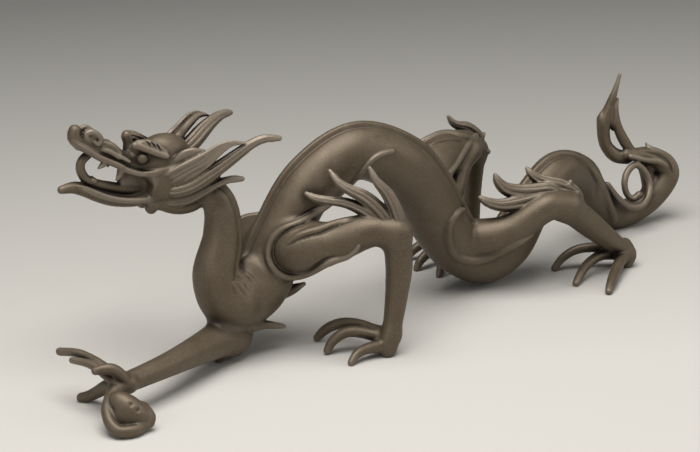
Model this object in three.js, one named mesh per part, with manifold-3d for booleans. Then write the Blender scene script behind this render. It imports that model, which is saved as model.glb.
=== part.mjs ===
// A small cast bronze dragon, walking, about 300 mm long, made as one casting.
// Millimetres, +Z up. The head looks along -X, the tail ends at +X and the dragon's left flank faces -Y.
// The origin is on the ground, under the middle of the casting.
import * as THREE from 'three';
import { mergeVertices } from 'three/addons/utils/BufferGeometryUtils.js';
import Module from 'manifold-3d';

const wasm = await Module();
wasm.setup();

// Driving dimensions. A station is [x, y, z, radius]: a centreline point and the half-thickness there.
const NECK = [
  [-82, -7, 70, 5.2], // nape, inside the skull
  [-73, -13, 60, 6.3],
  [-71, -13, 47, 7.3],
  [-70, -11, 31, 9.4], // throat
  [-65, -11, 21, 9.8], // bottom of the fold between neck and trunk
];
const TRUNK = [
  [-66, -11, 21, 9.5], // bottom of the fold
  [-56, -13, 23, 10.3], // chest
  [-46, -14, 39, 10.6], // shoulders
  [-33, -16, 58.5, 10.4],
  [-14, -20, 68.5, 10.1], // crown of the great arch
  [6, -23, 60.5, 10],
  [18.5, -22, 47, 10],
  [29, -20, 31, 10],
  [39, -19, 18, 10.2], // loins
  [50, -20.5, 11.4, 10.3], // belly, just clear of the ground
  [61, -22, 14.5, 9.7],
  [72, -22, 26, 8.6], // rump
  [90, -19, 37, 7.8], // crown of the second arch
  [106, -15.5, 32, 7.3],
  [118, -11, 20, 6.9],
  [136, -8, 5, 5.8], // tail, resting on the ground
  [152, -11.5, 10, 5.1],
  [160, -13, 20, 4.7], // tail, turning over forwards
  [154, -10.5, 27, 4],
  [139, -7, 31, 2.8],
];
const FOLD_WEB = [[-61, -10, 28], [6.5, 7, 7]]; // web that closes the foot of the fold
const RIDGE_HEIGHT = 1; // ridge along the back
const RIDGE_PINCH = 0.55; // how near the foot of the ridge is drawn to it
const FLANK = new THREE.Vector3(-0.47, -0.86, 0.17).normalize(); // the way the near flank faces

const LEFT_FORELEG = [
  [-47, -12, 38, 8], // shoulder, inside the trunk
  [-46, -25, 40, 10.2],
  [-38, -35, 43, 8.6],
  [-28, -44.5, 47.5, 6.4],
  [-20, -51, 47, 5.6], // elbow
  [-20, -51, 34, 5.3],
  [-22, -51, 19, 4.3],
  [-23.5, -51, 4, 3.2], // wrist
];
const RIGHT_FORELEG = [
  [-44, -13, 42, 7], // shoulder, inside the trunk
  [-50, -2, 35, 9],
  [-61, -10, 20, 8.2],
  [-73, -19, 10.5, 7.8], // elbow, low under the chest
  [-91, -25, 11.5, 5.7],
  [-108, -30, 12, 4.4],
  [-124, -33, 12, 3.8],
  [-132, -34, 12, 3.6], // wrist
];
const LEFT_HINDLEG = [
  [40, -16, 21, 9], // hip, inside the trunk
  [43, -25, 24, 9.6],
  [52, -33, 28, 7.6],
  [66, -40, 34, 6.2],
  [74, -41.5, 32.5, 5.7], // knee
  [88, -41.5, 21, 5],
  [99, -42, 12, 4.1],
  [107, -42.5, 4, 3.2], // ankle
];
const RIGHT_HINDLEG = [
  [22, -21, 42, 7], // hip, inside the trunk
  [30, -12.5, 49.5, 8.6],
  [40, -7, 52, 8.2],
  [53, -1, 50.5, 6.8],
  [63, 4, 48, 5.4],
  [71, 8, 43, 4.6], // knee
  [71, 9, 28, 3.8],
  [71, 9.5, 4, 3.2], // ankle
];

const TOE_RADIUS = 2.2;
const TOE_TIP_RADIUS = 1.5;
const TOE_ARCH = 9; // height of the knuckles above the ground
const TIP_SINK = 0.7; // how far toe tips are pressed below the ground before they are cut flat
const HEEL_SINK = 1.2; // the same for heels
const TOE_TIPS = {
  left_fore: [[-37, -25], [-42, -37], [-42, -50]],
  left_hind: [[81, -28], [77, -46], [80, -60]],
  right_hind: [[42, -4], [40, 7], [45, 18]],
};
const HEELS = {
  left_fore: [-23.5, -51],
  left_hind: [106.5, -42.5],
  right_hind: [72, 9.5],
};
const HEEL_SIZE = [3.9, 3.4, 4];

// The right forefoot is lifted: two toes in the air, one on the ground, and a thumb that curls under itself.
const RIGHT_FORE_TOES = [
  [[-131, -33, 13, 2.8], [-135, -25, 18, 2.1], [-137, -18, 20, 1.8], [-142, -9, 20, 1.3]],
  [[-131, -33, 12, 2.8], [-137, -28, 17.5, 2.1], [-140, -24, 19, 1.8], [-143, -19, 18.5, 1.3]],
  [[-131, -33, 11, 3], [-134, -24, 7, 2.5], [-136, -16, 1.2, 2.2]],
];
const THUMB = [
  [-131, -33, 13, 3.4], [-133, -42, 12, 4], [-133, -50, 8.5, 4], [-135.5, -52.5, 4, 3.4],
  [-140, -48, 2.2, 3.2], [-141.5, -42, 5, 3], [-138.5, -40, 8, 2.2],
];
const ELBOW_STUD = [[-75, -18, 8, 2.6], [-75, -18, -TIP_SINK, 2]]; // stub under the right elbow

// Locks of hair at the joints, root to tip.
const LOCKS = [
  [[-29, -43, 53, 2.9], [-38, -32, 58, 2.3], [-42, -26, 60.5, 0.8]],
  [[-25, -47, 54, 3.1], [-32, -40, 62, 2.5], [-36, -32, 69, 0.8]],
  [[-21, -50, 52, 3.2], [-25, -46, 62, 2.6], [-27, -43, 70, 0.8]],
  [[-42, -30, 50, 2.2], [-30.5, -32.5, 57.5, 2.2], [-20, -32.5, 65, 1.8], [-7, -31, 69, 0.8]],
  [[60, -35, 34, 3], [49, -29, 35, 2.2], [42, -25, 39.5, 0.8]],
  [[66, -37, 37, 3.2], [53, -29, 40, 2.4], [50, -26, 47.5, 0.8]],
  [[73, -41, 36, 3.2], [67, -34, 42, 2.4], [64, -30, 48.5, 0.8]],
  [[74, -41, 36, 2.4], [76, -40.5, 42, 0.7]],
  [[78, -42, 32, 2.4], [80.5, -41, 37, 0.7]],
  [[70, 6, 46, 3], [63, 7, 55, 2.4], [56, 8, 60, 0.8]],
  [[72, 7, 44, 2.4], [77, 9, 50, 0.7]],
  [[73, 8, 40, 2.4], [79, 10, 43, 0.7]],
  [[-67, -21, 13, 2.6], [-57, -25, 11.5, 2], [-50, -24, 10.5, 0.8]],
  [[-54, -17, 19, 2.6], [-46, -21.5, 22, 2], [-42.4, -24.4, 24.2, 0.8]],
];

// Raised rims that outline the shoulders and hips.
const RIM_RADIUS = 1.6;
const RIMS = [
  [[-41, -32, 50.5], [-49, -28.5, 50], [-55, -24, 46], [-57, -22.5, 40], [-56, -25, 34], [-53, -30, 32],
    [-44, -37.5, 35.5], [-34, -46, 42]], // left shoulder
  [[40, -26, 33], [30, -29, 36], [25, -29.5, 33], [24.5, -28, 27], [27.5, -26.5, 20], [33, -29, 16.5],
    [43, -30, 15], [51, -35, 19], [60, -39, 25]], // left hip
  [[24, -14, 59.5], [38, -8, 60], [53, -1, 57], [66, 4.5, 50.5]], // right hip, upper
  [[37, -16, 48], [45, -12, 50.5], [56, -6, 52], [66, 1, 49.5]], // right hip, lower
  [[-40, 0, 44], [-48, 6, 41.5], [-55, 4, 34], [-58, -1, 26]], // right shoulder
];

// Tail fin: two blades that part and meet again at the point, and a thin tendril curled into a ring.
const FIN_BLADES = [
  [[146, -9, 29.5, 3], [135, -3.5, 31.5, 2.7], [131.5, -1, 40, 2.8], [135, -1, 49, 2.4],
    [140.5, -3, 64, 0.7]],
  [[147, -9, 30, 2.6], [140, -6, 36, 2], [138, -3.5, 43, 2.1], [137.5, -2, 51, 1.8]],
];
const RING = [
  [120, -15, 24, 1.3], [131, -14, 15, 1.3], [139, -15, 10.5, 1.4], [145, -16, 13, 1.4],
  [147, -15.5, 20, 1.4], [143, -14, 26, 1.4], [138, -12.5, 25.5, 1.4], [136.5, -12, 19, 1.3],
  [138, -14, 14, 1.2],
];

// Head, in its own axes: x towards the nose, y to the dragon's left, z up, from the middle of the skull.
const HEAD_CENTRE = new THREE.Vector3(-90, -4, 75);
const HEAD_YAW = THREE.MathUtils.degToRad(10); // turned to the dragon's right
const UPPER_JAW = [[4, 0, 3, 6.4], [15, 0, 5.8, 4.2], [23, 0, 9.8, 3.2], [32, 0, 16.5, 2.4]];
const LOWER_JAW = [
  [2, 0, -8.5, 5], [12, 0, -9.2, 3.8], [24, 0, -6.8, 3], [32, 0, -4.4, 2.4], [40, 0, -2, 1.3],
];
const TONGUE = [[24, 0, -5, 1.8], [29.5, 0, -0.5, 1.8], [31.3, 0, 6, 1.8], [27.5, 0, 11, 1.8]];
const HEAD_BALLS = [
  [[0, 0, 3], [10.5, 7.2, 8.2]], // skull
  [[9, 0, -1.5], [9, 4.6, 6.5]], // back of the mouth
  [[32.6, 0, 17], [3.6, 3, 2.9]], // nose
];
const CHEEK_BALLS = [
  [[27.5, 2.8, 15.4], [2.5, 2.2, 2.7]], // nostril
  [[10.6, 5.2, 5.8], [2.3, 2.3, 2.3]], // eye
  [[4, 4, -4.5], [7.5, 4, 7.5]], // jowl
  [[6, 4, -13.2], [2.4, 2.2, 2.8]], // chin lobe
];
const CHEEK_LOCKS = [
  [[11.8, 4, 12, 2], [7, 6, 10, 2.6], [1.5, 7.4, 7, 2.2], [-2, 8, 5.2, 1]], // brow
  [[-1, 7.2, 4.5, 1.6], [-6, 9, 7, 2.1], [-12, 9.8, 7.2, 0.7]], // ear
  [[0, 4.5, -12, 3.8], [-13, 8, -12.5, 2.7], [-25, 11.5, -6.8, 0.9]], // jaw lock
  [[3, 3, -13, 3.6], [-6, 3.5, -15.5, 3.8], [-16, 4.5, -13.5, 2.4]], // beard
  [[25, 2.4, 10, 1.4], [25.6, 2.8, 5, 0.5]], // fore fang
  [[17, 3, 6, 1.7], [17.6, 3.4, -0.5, 0.6]], // back fang
];

// Each side of the mane is two locks that part behind the skull and meet again at the point.
const MANE_LOCKS = [
  [[2, 5, -1, 3.6], [-12, 9.5, 2, 3.3], [-23, 13, 6.5, 2.4], [-31, 15, 8, 1.4]], // left, upper
  [[0, 5, -8, 3.8], [-13, 8.5, -6, 3.3], [-24, 12, 1.5, 2.8], [-31, 15, 6.6, 2], [-38, 16.5, 8.8, 0.9]],
  [[2, -5, 0, 3.6], [-9, -10, 6.5, 3.3], [-19, -14, 9.5, 2.4], [-28, -16, 9.5, 1.4]], // right, upper
  [[0, -5, -8, 3.8], [-11, -8.5, -5, 3.3], [-21, -12, 2, 2.8], [-28, -15, 7, 2.1], [-36, -16.5, 9, 0.9]],
];

const BRONZE = new THREE.MeshStandardMaterial({ color: 0x6a5d50, roughness: 0.5, metalness: 0.6 });

// A closed mesh as a solid that can be joined and cut.
function solid(geometry) {
  const { position } = geometry.attributes;
  return new wasm.Manifold(
    new wasm.Mesh({
      numProp: 3,
      vertProperties: new Float32Array(position.array),
      triVerts: new Uint32Array(geometry.index.array),
    }),
  );
}

// A geometry with only its positions, and its shared vertices merged.
function welded(geometry) {
  geometry.deleteAttribute('normal');
  geometry.deleteAttribute('uv');
  return mergeVertices(geometry, 1e-5);
}

function pointOf([x, y, z]) {
  return new THREE.Vector3(x, y, z);
}

// Centreline and radius along a row of stations, both read with one parameter from 0 to 1.
function rail(stations) {
  const curve = new THREE.CatmullRomCurve3(stations.map(pointOf));
  const girth = new THREE.SplineCurve(stations.map((station, i) => new THREE.Vector2(i, station[3])));
  return {
    point: (t) => curve.getPoint(t),
    tangent: (t) => curve.getTangent(t),
    radius: (t) => girth.getPoint(t).y,
  };
}

// The way across the rail at each step: square to the rail, and either turned as little as possible
// from step to step or always kept towards one side.
function sidesAlong(path, steps, towards) {
  const side = new THREE.Vector3(0, 0, 1);
  if (Math.abs(path.tangent(0).z) > 0.9) {
    side.set(1, 0, 0);
  }
  return Array.from({ length: steps + 1 }, (_, i) => {
    const along = path.tangent(i / steps);
    side.copy(towards ?? side).addScaledVector(along, -(towards ?? side).dot(along)).normalize();
    return side.clone();
  });
}

// A round bar bent along its stations, with domed ends.
const DOME = 0.6; // height of a domed end, as a share of its radius
function sweep(
  stations,
  sides = 5,
  steps = 2 * (stations.length - 1),
  towards = null,
  section = roundSection,
) {
  const path = rail(stations);
  const across = sidesAlong(path, steps, towards);
  const bar = welded(new THREE.CylinderGeometry(1, 1, 1, sides, steps));
  const { position } = bar.attributes;
  for (let i = 0; i < position.count; i += 1) {
    const t = position.getY(i) + 0.5;
    const along = path.tangent(t);
    const normal = across[Math.round(t * steps)];
    const binormal = normal.clone().cross(along);
    const onAxis = Math.hypot(position.getX(i), position.getZ(i)) < 0.5;
    const place = path.point(t);
    if (onAxis) {
      place.addScaledVector(along, Math.sign(t - 0.5) * DOME * path.radius(t));
    } else {
      const [angle, radius] = section(Math.atan2(position.getX(i), position.getZ(i)), path.radius(t), sides);
      place.addScaledVector(normal, radius * Math.sin(angle));
      place.addScaledVector(binormal, radius * Math.cos(angle));
    }
    position.setXYZ(i, place.x, place.y, place.z);
  }
  return bar;
}

function roundSection(angle, radius) {
  return [angle, radius];
}

// The section of neck and trunk: round, with a narrow ridge along the back, where the angle is nought.
function ridgedSection(angle, radius, sides) {
  const corner = Math.round((Math.abs(angle) * sides) / (2 * Math.PI));
  if (corner === 0) {
    return [0, radius + RIDGE_HEIGHT];
  }
  return [corner === 1 ? angle * RIDGE_PINCH : angle, radius];
}

function ball(centre, radii, detail = 10) {
  const sphere = welded(new THREE.SphereGeometry(1, detail, Math.ceil(detail * 0.7)));
  return sphere.scale(...radii).translate(...centre);
}

// A toe leaves the heel, arches over its knuckle and comes down on its tip.
function toe([heelX, heelY], [tipX, tipY]) {
  const between = (share) => [heelX + share * (tipX - heelX), heelY + share * (tipY - heelY)];
  return sweep([
    [...between(0.06), 4.2, 1.15 * TOE_RADIUS],
    [...between(0.45), TOE_ARCH - TOE_RADIUS, TOE_RADIUS],
    [...between(0.82), 0.55 * TOE_ARCH, TOE_RADIUS],
    [...between(1), TOE_TIP_RADIUS - TIP_SINK, TOE_TIP_RADIUS],
  ], 5, 5);
}

function foot(name) {
  const [x, y] = HEELS[name];
  const [, , tall] = HEEL_SIZE;
  return [
    ball([x, y, tall - HEEL_SINK], HEEL_SIZE, 7),
    ...TOE_TIPS[name].map((tip) => toe(HEELS[name], tip)),
  ];
}

function mirrored([x, y, ...rest]) {
  return [x, -y, ...rest];
}

function head() {
  const pieces = [
    sweep(UPPER_JAW, 7),
    sweep(LOWER_JAW, 7),
    sweep(TONGUE),
    ...MANE_LOCKS.map((lock) => sweep(lock)),
    ...HEAD_BALLS.map(([centre, radii]) => ball(centre, radii, 8)),
  ];
  for (const turn of [(station) => station, mirrored]) {
    pieces.push(...CHEEK_BALLS.map(([centre, radii]) => ball(turn(centre), radii, 6)));
    pieces.push(...CHEEK_LOCKS.map((stations) => sweep(stations.map(turn))));
  }
  const ahead = new THREE.Vector3(-Math.cos(HEAD_YAW), Math.sin(HEAD_YAW), 0);
  const up = new THREE.Vector3(0, 0, 1);
  const placed = new THREE.Matrix4()
    .makeBasis(ahead, up.clone().cross(ahead), up)
    .setPosition(HEAD_CENTRE);
  return pieces.map((piece) => piece.applyMatrix4(placed));
}

function casting() {
  const legs = [LEFT_FORELEG, RIGHT_FORELEG, LEFT_HINDLEG, RIGHT_HINDLEG];
  const pieces = [
    sweep(NECK, 14, 10, FLANK, ridgedSection),
    sweep(TRUNK, 14, 40, FLANK, ridgedSection),
    ball(...FOLD_WEB, 7),
    ...legs.map((leg) => sweep(leg, 8, 11)),
    ...Object.keys(TOE_TIPS).flatMap(foot),
    ...RIGHT_FORE_TOES.map((toeStations) => sweep(toeStations)),
    sweep(THUMB, 6, 12),
    sweep(ELBOW_STUD, 8, 1),
    ...LOCKS.map((lock) => sweep(lock)),
    ...RIMS.map((rim) => sweep(rim.map((place) => [...place, RIM_RADIUS]), 4)),
    ...FIN_BLADES.map((blade) => sweep(blade)),
    sweep(RING, 5, 15),
    ...head(),
  ];
  const whole = pieces.map(solid).reduce((joined, piece) => joined.add(piece));
  const ground = new THREE.BoxGeometry(600, 400, 40).translate(0, 0, -20);
  return whole.subtract(solid(welded(ground)));
}

function geometryOf(manifold) {
  const { vertProperties, triVerts } = manifold.getMesh();
  const geometry = new THREE.BufferGeometry();
  geometry.setAttribute('position', new THREE.BufferAttribute(vertProperties, 3));
  geometry.setIndex(new THREE.BufferAttribute(triVerts, 1));
  geometry.computeBoundingBox();
  const middle = geometry.boundingBox.getCenter(new THREE.Vector3());
  geometry.translate(-middle.x, -middle.y, 0);
  geometry.computeVertexNormals();
  return geometry;
}

const dragon = new THREE.Mesh(geometryOf(casting()), BRONZE);
dragon.name = 'dragon';

const part = new THREE.Group();
part.add(dragon);

export default part;
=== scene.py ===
"""A small cast bronze dragon, walking, with an open mouth, a swept-back mane and a curled tail.

The figure is modelled as a founder models it: bars and balls of wax are laid along rows of stations, blended where
they meet, scored with hair and wrinkles, and then cast as one piece of metal. Stations are in millimetres, and the
casting is placed in metres in the frame of the solid it stands for.
"""
import math

import bpy
import numpy as np
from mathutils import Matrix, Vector


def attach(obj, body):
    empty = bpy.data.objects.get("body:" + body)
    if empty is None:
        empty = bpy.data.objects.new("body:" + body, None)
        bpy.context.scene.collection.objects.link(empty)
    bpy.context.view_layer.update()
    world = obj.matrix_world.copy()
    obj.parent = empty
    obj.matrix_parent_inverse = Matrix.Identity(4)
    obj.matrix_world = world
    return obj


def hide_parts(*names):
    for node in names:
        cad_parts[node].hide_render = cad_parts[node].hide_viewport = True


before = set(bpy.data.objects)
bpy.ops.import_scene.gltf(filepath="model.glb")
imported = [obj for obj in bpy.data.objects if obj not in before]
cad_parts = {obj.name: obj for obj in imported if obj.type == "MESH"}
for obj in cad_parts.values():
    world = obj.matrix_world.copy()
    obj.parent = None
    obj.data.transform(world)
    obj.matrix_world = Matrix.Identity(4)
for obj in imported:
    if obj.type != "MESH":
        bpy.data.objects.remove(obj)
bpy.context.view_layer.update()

MM = 0.001
CENTRE = np.array([10.265, -20.963, 0.0])  # middle of the solid's outline box, among the stations
CELL = 0.4  # fineness of the wax, mm
MARGIN = 4.0  # how far from a surface the wax is worked out, mm
FAR = 6.0
TRIANGLES = 196000  # most triangles left in the casting
KEPT_CORNERS = 55000  # corners of the finest relief, which are never thinned
WAX_LOW, WAX_HIGH = [-152, -68, -1.6], [171, 27, 102]  # corners of the block the wax is worked in
# How far out or in the relief is felt for, mm, and the share each reach has
FINEST_REACH = ((0.5, 1.0),)
# The hollow reaches set the painted shade in the hollows of the finish
HOLLOW_REACH = ((0.5, 0.3), (1.2, 0.25), (3.6, 0.45))
# The proud reaches set how much lighter the proud edges are: partly rubbed wear, partly painted highlight
PROUD_REACH = ((0.5, 0.3), (1.2, 0.3), (2.0, 0.4))

FLANK = np.array([-0.47, -0.86, 0.17])
FLANK = FLANK / np.linalg.norm(FLANK)


# Rows of stations

def spline(points, steps):
    """Centripetal curve through points, with steps equal shares of the row of points."""
    points = np.asarray(points, float)
    last = len(points) - 1
    padded = np.vstack([2 * points[0] - points[1], points, 2 * points[-1] - points[-2]])
    out = []
    for share in np.linspace(0, last, steps + 1):
        i = min(int(share), last - 1)
        w = share - i
        p0, p1, p2, p3 = padded[i:i + 4]
        gaps = [max(np.sum((b[:3] - a[:3]) ** 2) ** 0.25, 1e-4) for a, b in ((p0, p1), (p1, p2), (p2, p3))]
        d0, d1, d2 = gaps
        m1 = ((p1 - p0) / d0 - (p2 - p0) / (d0 + d1) + (p2 - p1) / d1) * d1
        m2 = ((p2 - p1) / d1 - (p3 - p1) / (d1 + d2) + (p3 - p2) / d2) * d1
        c2 = -3 * p1 + 3 * p2 - 2 * m1 - m2
        c3 = 2 * p1 - 2 * p2 + m1 + m2
        out.append(p1 + m1 * w + c2 * w * w + c3 * w ** 3)
    return np.array(out)


def unit(vectors):
    return vectors / np.maximum(np.linalg.norm(vectors, axis=-1, keepdims=True), 1e-9)


def rail(stations, spacing):
    """Points and radii along a row of stations."""
    stations = np.asarray(stations, float)
    length = np.sum(np.linalg.norm(np.diff(stations[:, :3], axis=0), axis=1))
    steps = max(2 * (len(stations) - 1), int(length / spacing))
    rows = spline(stations, steps)
    return rows[:, :3], np.maximum(rows[:, 3], 0.15)


def ways_across(points, towards=None):
    """Two directions square to the curve at each point, carried along without twist or kept towards one side."""
    along = unit(np.gradient(points, axis=0))
    side = np.array([0.0, 0.0, 1.0]) if abs(along[0][2]) < 0.9 else np.array([1.0, 0.0, 0.0])
    normals = []
    for step in along:
        side = side if towards is None else towards
        side = side - step * (side @ step)
        side = side / np.linalg.norm(side)
        normals.append(side)
    normals = np.array(normals)
    return normals, np.cross(normals, along)


class Wax:
    """The wax model: a distance to its surface on a regular grid, negative inside."""

    def __init__(self, low, high):
        self.low = np.array(low, float)
        self.shape = tuple(np.ceil((np.array(high, float) - self.low) / CELL).astype(int) + 1)
        self.depth = np.full(self.shape, FAR, np.float32)

    def window(self, low, high):
        start = np.clip(np.floor((low - self.low) / CELL).astype(int), 0, self.shape)
        stop = np.clip(np.ceil((high - self.low) / CELL).astype(int) + 1, start, self.shape)
        return start, stop

    def places(self, start, stop):
        axes = [(self.low[k] + CELL * np.arange(start[k], stop[k])).astype(np.float32) for k in range(3)]
        return axes[0][:, None, None], axes[1][None, :, None], axes[2][None, None, :]

    def blend_in(self, start, stop, new, blend):
        """Joins new wax to what is there, with a fillet of about blend."""
        box = tuple(slice(a, b) for a, b in zip(start, stop))
        old = self.depth[box]
        if blend <= 0:
            np.minimum(old, new, out=old)
            return
        share = np.clip(0.5 + 0.5 * (new - old) / blend, 0, 1)
        self.depth[box] = new + (old - new) * share - blend * share * (1 - share)

    def cut_out(self, start, stop, tool, blend):
        """Takes away what is inside the tool, with edges eased by about blend."""
        box = tuple(slice(a, b) for a, b in zip(start, stop))
        old = self.depth[box]
        other = -tool
        share = np.clip(0.5 - 0.5 * (other - old) / blend, 0, 1)
        self.depth[box] = other + (old - other) * share + blend * share * (1 - share)

    def bar_distance(self, stations, section, towards, spacing):
        points, radii = rail(stations, spacing)
        normals, binormals = ways_across(points, towards)
        along = np.cross(binormals, normals).astype(np.float32)
        reach = radii.max() * 1.3 + MARGIN
        start, stop = self.window(points.min(0) - reach, points.max(0) + reach)
        near = np.full(tuple(stop - start), FAR, np.float32)
        count = len(points) - 1
        for i in range(count):
            a, b = points[i], points[i + 1]
            grow = max(radii[i], radii[i + 1]) * 1.3 + MARGIN
            first, final = self.window(np.minimum(a, b) - grow, np.maximum(a, b) + grow)
            x, y, z = self.places(first, final)
            px, py, pz = x - np.float32(a[0]), y - np.float32(a[1]), z - np.float32(a[2])
            d, s, t = (b - a).astype(np.float32), along[i], along[i + 1]
            past = px * s[0] + py * s[1] + pz * s[2]
            short = d @ t - (px * t[0] + py * t[1] + pz * t[2])
            share = np.clip(past / np.maximum(past + short, 1e-3), 0, 1)
            beside = ((past > -0.05) | (i == 0)) & ((short > -0.05) | (i == count - 1))
            qx, qy, qz = px - share * d[0], py - share * d[1], pz - share * d[2]
            away = np.sqrt(qx * qx + qy * qy + qz * qz)
            radius = np.float32(radii[i]) + share * np.float32(radii[i + 1] - radii[i])
            if section is not None:
                sides = []
                for ways in (normals, binormals):
                    n, m = ways[i].astype(np.float32), (ways[i + 1] - ways[i]).astype(np.float32)
                    sides.append(qx * n[0] + qy * n[1] + qz * n[2] + share * (qx * m[0] + qy * m[1] + qz * m[2]))
                radius = section((i + share) / count, np.arctan2(*sides), radius)
            box = tuple(slice(p - s, q - s) for p, q, s in zip(first, final, start))
            np.minimum(near[box], np.where(beside, away - radius, FAR), out=near[box])
        return start, stop, near

    def roll(self, stations, blend=1.0, section=None, towards=None, spacing=1.5):
        """Lays a round bar of wax along its stations; a section may change its radius by angle."""
        self.blend_in(*self.bar_distance(stations, section, towards, spacing), blend)

    def score(self, stations, blend=0.3, spacing=1.2):
        """Cuts a groove along its stations."""
        self.cut_out(*self.bar_distance(stations, None, None, spacing), blend)

    def ball_distance(self, centre, radii, turn=None):
        centre, radii = np.asarray(centre, float), np.asarray(radii, float)
        reach = radii.max() + MARGIN
        start, stop = self.window(centre - reach, centre + reach)
        x, y, z = self.places(start, stop)
        x, y, z = x - np.float32(centre[0]), y - np.float32(centre[1]), z - np.float32(centre[2])
        if turn is not None:
            x, y, z = (x * np.float32(t[0]) + y * np.float32(t[1]) + z * np.float32(t[2]) for t in turn)
        a, b, c = radii
        scaled = np.sqrt((x / a) ** 2 + (y / b) ** 2 + (z / c) ** 2)
        slope = np.sqrt((x / a ** 2) ** 2 + (y / b ** 2) ** 2 + (z / c ** 2) ** 2)
        away = scaled * (scaled - 1) / np.maximum(slope, 1e-3)
        return start, stop, np.clip(away, -FAR, FAR).astype(np.float32)

    def press(self, centre, radii, blend=1.0, turn=None):
        """Presses on a ball, or an egg turned to the three given axes."""
        self.blend_in(*self.ball_distance(centre, radii, turn), blend)

    def hollow(self, centre, radii, blend=0.5, turn=None):
        """Scoops out a ball or an egg."""
        self.cut_out(*self.ball_distance(centre, radii, turn), blend)

    def stand(self):
        """Cuts the soles flat at the ground."""
        heights = self.low[2] + CELL * np.arange(self.shape[2])
        np.maximum(self.depth, -heights.astype(np.float32)[None, None, :], out=self.depth)

    def sample(self, places):
        """Distance at any places, read between the grid points."""
        spot = (places - self.low) / CELL
        base = np.clip(np.floor(spot).astype(int), 0, np.array(self.shape) - 2)
        f = np.clip(spot - base, 0, 1)
        total = np.zeros(len(places))
        for corner in range(8):
            step = np.array([corner & 1, corner >> 1 & 1, corner >> 2 & 1])
            weight = np.prod(np.where(step, f, 1 - f), axis=1)
            total += weight * self.depth[tuple((base + step).T)]
        return total

    def slope(self, places):
        """Way out of the metal at any places."""
        out = np.zeros_like(places)
        for k in range(3):
            step = np.zeros(3)
            step[k] = 0.6 * CELL
            out[:, k] = self.sample(places + step) - self.sample(places - step)
        return unit(out)

    def skin(self):
        """Corners and four-sided faces of the surface, with one corner in each cell that the surface crosses."""
        inside = self.depth < 0
        some = np.zeros(tuple(n - 1 for n in self.shape), bool)
        every = np.ones_like(some)
        for corner in range(8):
            i, j, k = corner & 1, corner >> 1 & 1, corner >> 2 & 1
            part = inside[i:self.shape[0] - 1 + i, j:self.shape[1] - 1 + j, k:self.shape[2] - 1 + k]
            some |= part
            every &= part
        cells = np.argwhere(some & ~every)
        keys = np.ravel_multi_index(cells.T, some.shape)
        total = np.zeros((len(cells), 3))
        hits = np.zeros(len(cells))
        for axis in range(3):
            for u in (0, 1):
                for v in (0, 1):
                    near = np.zeros(3, int)
                    near[(axis + 1) % 3], near[(axis + 2) % 3] = u, v
                    far = near.copy()
                    far[axis] = 1
                    a = self.depth[tuple((cells + near).T)]
                    b = self.depth[tuple((cells + far).T)]
                    cross = (a < 0) != (b < 0)
                    share = np.where(cross, a / np.where(cross, a - b, 1), 0)
                    spot = near + share[:, None] * (far - near)
                    total += np.where(cross[:, None], spot, 0)
                    hits += cross
        corners = self.low + CELL * (cells + total / hits[:, None])
        faces = []
        for axis in range(3):
            ahead = [slice(None)] * 3
            behind = [slice(None)] * 3
            ahead[axis], behind[axis] = slice(1, None), slice(None, -1)
            a, b = inside[tuple(behind)], inside[tuple(ahead)]
            edges = np.argwhere(a != b)
            edges = edges[(edges[:, (axis + 1) % 3] > 0) & (edges[:, (axis + 2) % 3] > 0)]
            outward = a[tuple(edges.T)]
            ring = []
            for u, v in ((-1, -1), (0, -1), (0, 0), (-1, 0)):
                cell = edges.copy()
                cell[:, (axis + 1) % 3] += u
                cell[:, (axis + 2) % 3] += v
                ring.append(np.searchsorted(keys, np.ravel_multi_index(cell.T, some.shape)))
            ring = np.stack(ring, 1)
            faces.append(np.where(outward[:, None], ring, ring[:, ::-1]))
        return corners, np.concatenate(faces)


# Sections

def beaded_back(share, angle, radius):
    """A round body with a bead along the back and a groove on each side of it."""
    place = share * (len(BODY) - 1)
    stations = np.arange(len(BODY))
    height = np.interp(place, stations, BEAD_HEIGHT).astype(np.float32)
    lean = np.interp(place, stations, BEAD_LEAN).astype(np.float32)
    arc = np.abs(angle - lean) * radius
    bead = np.exp(-(arc / (0.85 * BEAD_WIDTH)) ** 4)
    groove = 0.75 * np.exp(-((arc - 1.55 * BEAD_WIDTH) / (0.5 * BEAD_WIDTH)) ** 2)
    return radius + height * (bead - groove)


def combed_brow(share, angle, radius):
    """Strands combed round a brow, faded out at its two ends."""
    cut = 0.5 + 0.5 * np.cos(BROW_STRANDS * angle)
    fade = np.clip((1.1 - share) / 0.25, 0, 1) * np.clip(share / 0.12, 0, 1)
    return radius - 0.5 * cut ** 1.6 * fade


# The dragon, as stations of x, y, z and radius

BODY = [
    [-82, -7, 70, 4.8], [-73, -13, 60, 5.6], [-72.8, -15.2, 48, 6.8], [-76.7, -16.2, 33.3, 8.4],
    [-70.7, -17, 22.9, 10.6],
    [-59, -17.1, 24.2, 10.8], [-47.2, -15.4, 39.7, 10.6], [-33, -16, 58.5, 10.4], [-14.3, -19.8, 68, 10.6],
    [5.1, -22.2, 59.6, 11.2], [17.6, -21.2, 46, 11.4], [28.2, -19.4, 30.2, 11.2], [38.6, -18.8, 17.8, 10.6],
    [50, -20.5, 11.4, 10.3], [61, -22, 14.5, 9.7], [72, -22, 26, 8.6], [90, -19, 37, 7.8], [106, -15.5, 32, 7.3],
    [118, -11, 20, 6.9], [136, -8, 5.4, 5.8], [152, -11.5, 10, 5.1], [160, -13, 20, 4.7], [154, -10.5, 27, 4],
    [140.5, -7.6, 30.3, 2.2],
]
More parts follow.
